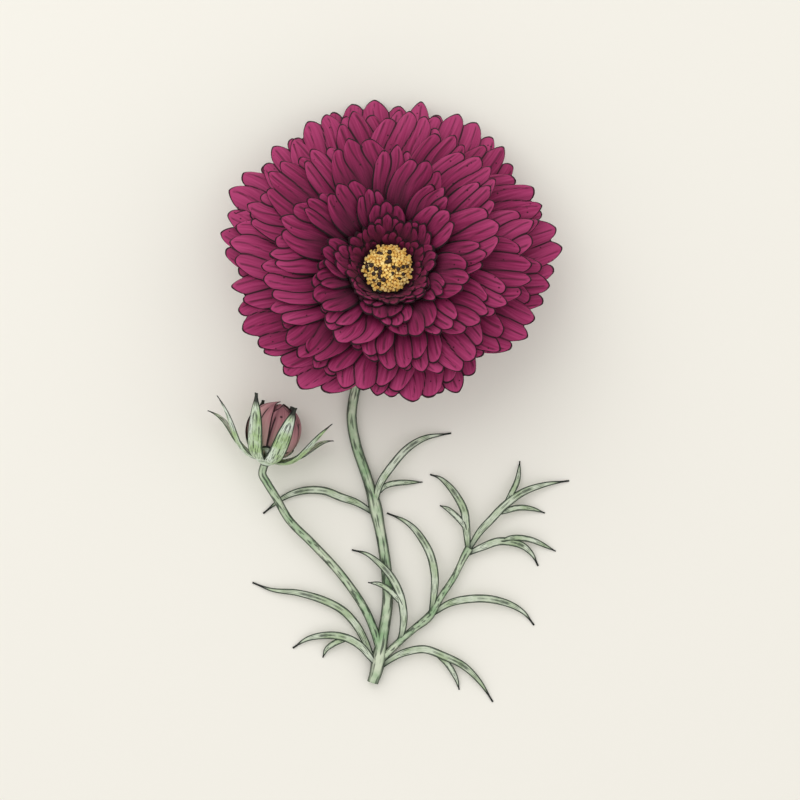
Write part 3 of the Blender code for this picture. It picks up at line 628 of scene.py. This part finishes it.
def blade_grid(route, half_width, half_thickness, base_share, side=None, power=2.8):
    """A thin blade with a gutter along its middle. side, if given, is its fixed sideways direction."""
    tangents = directions(route)
    if side is None:
        side = np.cross(tangents, (0, 0, 1.0))
    else:
        side = np.broadcast_to(side, tangents.shape)
    side = side / np.linalg.norm(side, axis=1, keepdims=True)
    up = np.cross(side, tangents)
    share = np.linspace(0, 1, len(route))
    rise = base_share + (1 - base_share) * np.sin(math.pi / 2 * np.minimum(share / 0.35, 1))
    taper = 1 - np.clip((share - 0.35) / 0.65, 0, 1) ** power
    shape = np.maximum(rise * taper, 0.22)
    stations = np.concatenate([BLADE_STATIONS, BLADE_STATIONS[-2:0:-1]])
    upper = np.array([1] * 7 + [-1] * 5)
    gutter = 0.28 * half_width * (np.abs(stations) - 0.5)
    skin = upper * half_thickness * np.sqrt(np.maximum(1 - stations**4, 0))
    points = (
        route[:, None, :]
        + side[:, None, :] * (stations * half_width)[None, :, None] * shape[:, None, None]
        + up[:, None, :] * (gutter + skin)[None, :, None] * shape[:, None, None]
    )
    count, ring = len(route), len(stations)
    faces = [tuple(reversed(face)) for face in grid_faces(count, ring, closed=True)]
    faces += [tuple(reversed(range(ring))), tuple(range((count - 1) * ring, count * ring))]
    rim = ((1 - np.abs(stations))[None, :] * half_width * shape[:, None] * 1000).ravel()
    return points.reshape(-1, 3), faces, {"rim": rim, "along": np.repeat(share, ring), "tone": 0.0, "round": 0.0}


# %% [markdown]
# ## Stems
#
# The routes are the CAD's own, moved as the whole sprig was. Each branch starts inside the stem that bears it, so
# the gap that keeps two solids apart doesn't show, and the bearing stem swells a little at each joint.

# %% Stems
MAIN_STEM_ROUTE = (
    (-0.0035, -0.0893, 0.00128),
    (-0.0024, -0.0854, 0.00128),
    (-0.0004, -0.0737, 0.00130),
    (-0.0002, -0.0671, 0.00130),
    (-0.0011, -0.0594, 0.00130),
    (-0.0029, -0.0502, 0.00135),
    (-0.0048, -0.0435, 0.00130),
    (-0.0070, -0.0370, 0.00125),
    (-0.0081, -0.0315, 0.00120),
    (-0.0079, -0.0270, 0.00120),
    (-0.0066, -0.0215, 0.00120),
    (-0.0042, -0.0150, 0.00125),
    (-0.0018, -0.0088, 0.00180),
)
BUD_STEM_ROUTE = (
    (-0.0016, -0.0830, 0.0016),
    (-0.0029, -0.0784, 0.0017),
    (-0.0047, -0.0739, 0.0018),
    (-0.0074, -0.0694, 0.0020),
    (-0.0115, -0.0640, 0.0024),
    (-0.0169, -0.0582, 0.0030),
    (-0.0218, -0.0532, 0.0039),
    (-0.0247, -0.0482, 0.0050),
    (-0.0268, -0.0447, 0.0060),
)
SHOOT_STEM_ROUTE = (
    (-0.0013, -0.0838, 0.0014),
    (0.0020, -0.0806, 0.0015),
    (0.0056, -0.0774, 0.0016),
    (0.0092, -0.0744, 0.0017),
    (0.0119, -0.0699, 0.0018),
    (0.0146, -0.0658, 0.0019),
    (0.0168, -0.0614, 0.0018),
    (0.0180, -0.0594, 0.0017),
)
CALYX_DEPTH = 0.0065
BUD_BASE = (-0.0270, -0.0396, 0.0066)
BUD_HEADING, BUD_RAISE = math.radians(75), math.radians(8)
local_head = np.array([0, 0, HEAD_HEIGHT])
neck = local_head - head_axis * (CALYX_DEPTH - 0.0006)
level = math.cos(BUD_RAISE)
bud_axis = np.array([level * math.cos(BUD_HEADING), level * math.sin(BUD_HEADING), math.sin(BUD_RAISE)])
bud_neck = np.array(BUD_BASE) - bud_axis * 0.0006
main_route = smooth_route([*MAIN_STEM_ROUTE, local_head - head_axis * (CALYX_DEPTH + 0.0031), neck]) + SHIFT
bud_route = smooth_route([*BUD_STEM_ROUTE, bud_neck - bud_axis * 0.0026, bud_neck]) + SHIFT
shoot_route = smooth_route(SHOOT_STEM_ROUTE) + SHIFT
swells = ((0.06, 0.0004), (0.42, 0.0003))
make_piece("ribbed_main_stem", [stem_grid(main_route, (0.00122, 0.00104), swells=swells)], stem_skin, ["main_stem"])
make_piece("ribbed_bud_stem", [stem_grid(bud_route, (0.00092, 0.00088))], stem_skin, ["bud_stem"])
swells = ((0.42, 0.0002), (1.0, 0.0003))
make_piece("ribbed_shoot_stem", [stem_grid(shoot_route, (0.00083, 0.00066), swells=swells)], stem_skin, ["shoot_stem"])
print("stems", len(main_route), len(bud_route), len(shoot_route), "rings")

# %% [markdown]
# ## Leaves
#
# A leaf is one blade with its prongs, and each prong grows out of the blade beside it. As the CAD's solids start
# clear of the stem, the blades' routes here begin on the stem's own line.

# %% Leaves
LEAVES = {
    "leaf_upper_right": (
        ((-0.0032, -0.0506, 0.0016), (-0.0029, -0.0490, 0.0020), (-0.0018, -0.0449, 0.0026), (0.0009, -0.0409, 0.0030), (0.0042, -0.0372, 0.0026), (0.0083, -0.0348, 0.0016), (0.0140, -0.0338, 0.0002)),
        ((-0.0023, -0.0474, 0.0022), (-0.0006, -0.0455, 0.0023), (0.0024, -0.0448, 0.0017), (0.0076, -0.0447, 0.0002)),
    ),
    "leaf_upper_left": (
        ((-0.0031, -0.0517, 0.0013), (-0.0069, -0.0493, 0.0016), (-0.0106, -0.0480, 0.0015), (-0.0144, -0.0466, 0.0013), (-0.0190, -0.0466, 0.0010), (-0.0234, -0.0482, 0.0007), (-0.0279, -0.0517, 0.0002)),
    ),
    "leaf_base_left": (
        ((-0.0020, -0.0855, 0.0012), (-0.0036, -0.0836, 0.0011), (-0.0052, -0.0800, 0.0010), (-0.0072, -0.0764, 0.0012), (-0.0103, -0.0731, 0.0015), (-0.0148, -0.0708, 0.0016), (-0.0202, -0.0693, 0.0013), (-0.0258, -0.0687, 0.0008), (-0.0303, -0.0671, 0.0002)),
    ),
    "leaf_base_left_low": (
        ((-0.0024, -0.0854, 0.0020), (-0.0038, -0.0838, 0.0023), (-0.0061, -0.0811, 0.0025), (-0.0092, -0.0793, 0.0024), (-0.0132, -0.0787, 0.0018), (-0.0178, -0.0795, 0.0010), (-0.0213, -0.0817, 0.0002)),
        ((-0.0088, -0.0795, 0.0024), (-0.0114, -0.0802, 0.0018), (-0.0137, -0.0818, 0.0010), (-0.0146, -0.0838, 0.0002)),
    ),
    "leaf_base_right": (
        ((-0.0021, -0.0861, 0.0015), (0.0004, -0.0842, 0.0017), (0.0034, -0.0826, 0.0020), (0.0079, -0.0818, 0.0021), (0.0123, -0.0833, 0.0019), (0.0168, -0.0856, 0.0014), (0.0204, -0.0892, 0.0009), (0.0233, -0.0937, 0.0002)),
        ((0.0100, -0.0824, 0.0020), (0.0130, -0.0849, 0.0015), (0.0150, -0.0882, 0.0009), (0.0158, -0.0910, 0.0002)),
    ),
    "leaf_base_centre": (
        ((0.0022, -0.0804, 0.0016), (0.0031, -0.0779, 0.0022), (0.0034, -0.0739, 0.0029), (0.0024, -0.0690, 0.0033), (-0.0002, -0.0645, 0.0035), (-0.0043, -0.0609, 0.0022), (-0.0081, -0.0598, 0.0003)),
        ((0.0032, -0.0722, 0.0031), (0.0011, -0.0694, 0.0034), (-0.0016, -0.0674, 0.0033), (-0.0045, -0.0670, 0.0016)),
    ),
    "shoot_leaflet_left": (
        ((0.0094, -0.0742, 0.0018), (0.0101, -0.0699, 0.0024), (0.0103, -0.0653, 0.0028), (0.0092, -0.0604, 0.0029), (0.0065, -0.0559, 0.0023), (0.0036, -0.0533, 0.0014), (-0.0003, -0.0516, 0.0002)),
    ),
    "shoot_leaflet_right": (
        ((0.0095, -0.0742, 0.0016), (0.0141, -0.0714, 0.0020), (0.0204, -0.0705, 0.0021), (0.0258, -0.0714, 0.0016), (0.0299, -0.0735, 0.0010), (0.0325, -0.0766, 0.0002)),
    ),
    "shoot_top_left": (
        ((0.0178, -0.0604, 0.0018), (0.0173, -0.0545, 0.0024), (0.0167, -0.0506, 0.0027), (0.0144, -0.0466, 0.0023), (0.0117, -0.0439, 0.0013), (0.0093, -0.0430, 0.0002)),
        ((0.0174, -0.0556, 0.0023), (0.0161, -0.0533, 0.0026), (0.0136, -0.0509, 0.0018), (0.0115, -0.0499, 0.0004)),
    ),
    "shoot_top_right": (
        ((0.0176, -0.0606, 0.0016), (0.0209, -0.0591, 0.0019), (0.0248, -0.0578, 0.0020), (0.0292, -0.0585, 0.0016), (0.0319, -0.0606, 0.0010), (0.0334, -0.0634, 0.0002)),
        ((0.0248, -0.0578, 0.0020), (0.0278, -0.0570, 0.0021), (0.0321, -0.0576, 0.0015), (0.0373, -0.0601, 0.0002)),
    ),
    "shoot_tip": (
        ((0.0176, -0.0602, 0.0018), (0.0201, -0.0560, 0.0022), (0.0228, -0.0530, 0.0024), (0.0258, -0.0499, 0.0025), (0.0299, -0.0469, 0.0022), (0.0349, -0.0452, 0.0013), (0.0403, -0.0444, 0.0002)),
        ((0.0256, -0.0501, 0.0025), (0.0275, -0.0469, 0.0023), (0.0288, -0.0439, 0.0015), (0.0293, -0.0400, 0.0004)),
        ((0.0240, -0.0518, 0.0024), (0.0285, -0.0504, 0.0018), (0.0319, -0.0506, 0.0011), (0.0349, -0.0516, 0.0002)),
    ),
}
LEAF_HALF_WIDTH, LEAF_HALF_THICKNESS = 0.00092, 0.00026
for name, routes in LEAVES.items():
    grids = []
    for number_of_blade, knots in enumerate(routes):
        base_share = 0.55 if number_of_blade == 0 else 0.4
        width = LEAF_HALF_WIDTH if number_of_blade == 0 else 0.75 * LEAF_HALF_WIDTH
        route = smooth_route(knots, 0.0006) + SHIFT
        grids.append(blade_grid(route, width, LEAF_HALF_THICKNESS, base_share))
    make_piece(f"blade_{name}", grids, leaf_skin, [name])
print(len(LEAVES), "leaves")

# %% [markdown]
# ## The flower's calyx
#
# Below the petals, a green cup narrows to the stem, and eight slim bracts spread from it. It only shows from the
# side and from below, but the flower is looked at from there too.

# %% Calyx
CALYX_SHOULDER, CALYX_NECK = 0.0062, 0.0014
profile = [(0.0002, SEAT_RISE), (0.0049, SEAT_RISE), (0.0052, SEAT_RISE - 0.0004), (0.0052, -0.0006), (0.0059, -0.0012)]
for turn in np.linspace(0, math.pi / 2, 12):
    profile.append((between((CALYX_NECK, CALYX_SHOULDER), math.cos(turn)), -between((0.0018, CALYX_DEPTH), math.sin(turn))))
grids = [turned_grid(profile, 64, HEAD, ribs=16, rib_depth=0.012)]
for k in range(8):
    azimuth = 2 * math.pi * (k + 0.5) / 8
    radii = np.linspace(0.0044, 0.0165, 26)
    lows = petal_height(-0.16, np.maximum(radii, SEAT_RADIUS), azimuth)
    points = np.stack([radii * math.cos(azimuth), radii * math.sin(azimuth), lows], axis=-1)
    sideways = placed(np.array([[-math.sin(azimuth), math.cos(azimuth), 0]]), HEAD) - np.array(HEAD.translation)
    grids.append(blade_grid(placed(points, HEAD), 0.0017, 0.00022, 0.7, side=-sideways))
make_piece("calyx_cup", grids, bract_skin, ["calyx"])

# %% [markdown]
# ## The bud
#
# The closed petals wrap round each other: each covers the edge of the next, so every petal's skin climbs a little
# from its tucked edge to its free one. Narrow bracts stand round the bud in a bowl and bend out at their tips, and
# short sepals clasp its foot.

# %% Bud petals
BUD_RADIUS, BUD_LENGTH, BUD_SEAT, BUD_PETALS = 0.0059, 0.0127, 0.0007, 5
BUD_TOPS = (0.97, 0.86, 0.8, 0.84, 0.78)
CORE_PROFILE = ((0.02, 0.96), (0.3, 0.9), (0.66, 0.74), (0.84, 0.52), (0.78, 0.3), (0.5, 0.12), (0.1, 0.04))
BUD = Vector(bud_axis).to_track_quat("Z", "Y").to_matrix().to_4x4()
BUD.translation = Vector(np.array(BUD_BASE) + SHIFT)


def bud_petal_grid(azimuth, half_turn, climb, top_share, seed, radius_share=1.0):
    """A curved petal wrapped round the bud's axis."""
    rng = np.random.default_rng(seed)
    across, along = np.meshgrid(np.linspace(-1, 1, 33), np.linspace(0.02, 1, 37))
    arc = math.pi * (0.06 + along * (0.94 * top_share) * (1 - 0.24 * np.abs(across) ** 1.4))
    fullness = 0.8 + 0.9 * (arc / math.pi) ** 3
    skin = radius_share * BUD_RADIUS * np.sin(np.minimum(arc, math.pi * 0.995)) ** fullness
    ripple = 0.00012 * np.cos(2 * math.pi * (1.5 * across + rng.random())) * np.sin(math.pi * along)
    radius = skin + climb * across * np.sin(math.pi * along) ** 0.5 + ripple
    around = azimuth + across * half_turn * (1 - 0.2 * along**3)
    height = BUD_SEAT + BUD_LENGTH / 2 * (1 - np.cos(arc))
    points = np.stack([radius * np.cos(around), radius * np.sin(around), height], axis=-1).reshape(-1, 3)
    crease = np.abs(np.abs(across) - 0.42) * half_turn * np.abs(radius) * 1000 + 3 * np.maximum(along - 0.8, 0)
    rim = np.minimum((1 - along) * 0.012, (1 - np.abs(across)) * half_turn * np.abs(radius)) * 1000
    numbers = {"along": along.ravel(), "across": (across * 0.4).ravel(), "rim": rim.ravel(), "crease": crease.ravel()}
    numbers |= {"middle": 9.0, "tone": rng.uniform(-0.08, 0.08)}
    faces = [tuple(reversed(face)) for face in grid_faces(37, 33)]
    return placed(points, BUD), faces, numbers


core = [(radius * BUD_RADIUS, BUD_SEAT + rise * BUD_LENGTH) for radius, rise in CORE_PROFILE]
core_grid = turned_grid(core, 32, BUD)
core_grid[2]["along"] = 1 - core_grid[2]["along"]
make_piece("bud_core", [core_grid], bud_skin, ())
for k, top_share in enumerate(BUD_TOPS):
    azimuth = 2 * math.pi * (k + 0.5) / BUD_PETALS
    grid = bud_petal_grid(azimuth, math.radians(52), 0.0003, top_share, 900 + k)
    make_piece(f"wrapped_bud_petal_{k + 1}", [grid], bud_skin, [f"bud_petal_{k + 1}"], 0.0002)
print(BUD_PETALS, "bud petals")

# %% Bud calyx
BUD_BRACTS = (
    (math.radians(-10), 0.0090, 0.0156, 0.0068),
    (math.radians(25), 0.0086, 0.0150, 0.0120),
    (math.radians(65), 0.0078, 0.0125, 0.0156),
    (math.radians(110), 0.0076, 0.0110, 0.0145),
    (math.radians(160), 0.0086, 0.0130, 0.0122),
    (math.radians(195), 0.0090, 0.0138, 0.0074),
    (math.radians(250), 0.0068, 0.0070, 0.0120),
    (math.radians(305), 0.0070, 0.0073, 0.0118),
)
BRACT_HALF_WIDTH, BRACT_CURL = 0.00195, 0.0065
cup = [(0.0003, 0.0004), (0.0016, 0.0004), (0.0022, 0.0001), (0.0020, -0.0005), (0.0012, -0.0010), (0.0009, -0.0013)]
grids = [turned_grid(cup, 32, BUD)]
for azimuth, bulge, tip_out, tip_up in BUD_BRACTS:
    t = np.linspace(0, 1, 30)[:, None]
    start, out = np.array([0.0012, 0.0]), np.array([bulge, 0.0])
    up, end = np.array([bulge, BRACT_CURL]), np.array([tip_out, tip_up])
    path = start * (1 - t) ** 3 + out * 3 * t * (1 - t) ** 2 + up * 3 * t**2 * (1 - t) + end * t**3
    points = np.stack([path[:, 0] * math.cos(azimuth), path[:, 0] * math.sin(azimuth), path[:, 1]], axis=-1)
    sideways = placed(np.array([[-math.sin(azimuth), math.cos(azimuth), 0]]), BUD) - np.array(BUD.translation)
    grids.append(blade_grid(placed(points, BUD), BRACT_HALF_WIDTH, 0.00022, 0.7, side=-sideways, power=3.6))
make_piece("bud_bracts", grids, bract_skin, ["bud_calyx"])
sepals = [bud_petal_grid(2 * math.pi * k / 5 + 0.3, math.radians(34), 0.0001, 0.30, 950 + k, 1.06) for k in range(5)]
make_piece("bud_sepals", sepals, bract_skin, (), 0.0002)

# %% [markdown]
# ## Table, light and camera
#
# The sprig lies on a plain warm white table under a broad soft light from the upper left, with an even sky for fill.
# The camera looks straight down through a long lens, so the head and the leaves keep their proportions.

# %% Table
floor_mesh = bpy.data.meshes.new("table_top")
floor_mesh.from_pydata([(-1.5, -1.5, 0), (1.5, -1.5, 0), (1.5, 1.5, 0), (-1.5, 1.5, 0)], [], [(0, 1, 2, 3)])
table_top = bpy.data.objects.new("table_top", floor_mesh)
bpy.context.scene.collection.objects.link(table_top)
warm_white, tree, shader = start_material("warm_white_card", 0.9)
shader.inputs["Base Color"].default_value = colour("#f1eee5")
floor_mesh.materials.append(warm_white)

# %% Light
scene = bpy.context.scene
scene.view_settings.view_transform = "Standard"
world = bpy.data.worlds.new("even_sky")
scene.world = world
world.use_nodes = True
world.node_tree.nodes["Background"].inputs["Color"].default_value = (1.0, 0.995, 0.985, 1.0)
world.node_tree.nodes["Background"].inputs["Strength"].default_value = 0.80


def soft_light(name, place, size, watts):
    """A square area light that faces the middle of the sprig."""
    lamp = bpy.data.lights.new(name, "AREA")
    lamp.size = size
    lamp.energy = watts
    light = bpy.data.objects.new(name, lamp)
    light.location = place
    light.rotation_euler = (Vector((0, 0, 0)) - Vector(place)).to_track_quat("-Z", "Y").to_euler()
    scene.collection.objects.link(light)


soft_light("soft_key", (-0.3, 0.4, 0.6), 0.8, 2.0)
soft_light("soft_fill", (0.5, -0.3, 0.6), 0.7, 0.5)

# %% Camera
VIEW_WIDTH = 0.176
LENS, SENSOR = 135, 36
VIEW_CENTRE = np.array([0.0026, -0.0264, 0.009]) + SHIFT
camera_data = bpy.data.cameras.new("overhead_camera")
camera_data.lens = LENS
camera_data.sensor_width = SENSOR
camera = bpy.data.objects.new("overhead_camera", camera_data)
camera.location = Vector(VIEW_CENTRE) + Vector((0, 0, VIEW_WIDTH * LENS / SENSOR))
scene.collection.objects.link(camera)
scene.camera = camera
print("camera at", [round(value, 4) for value in camera.location])
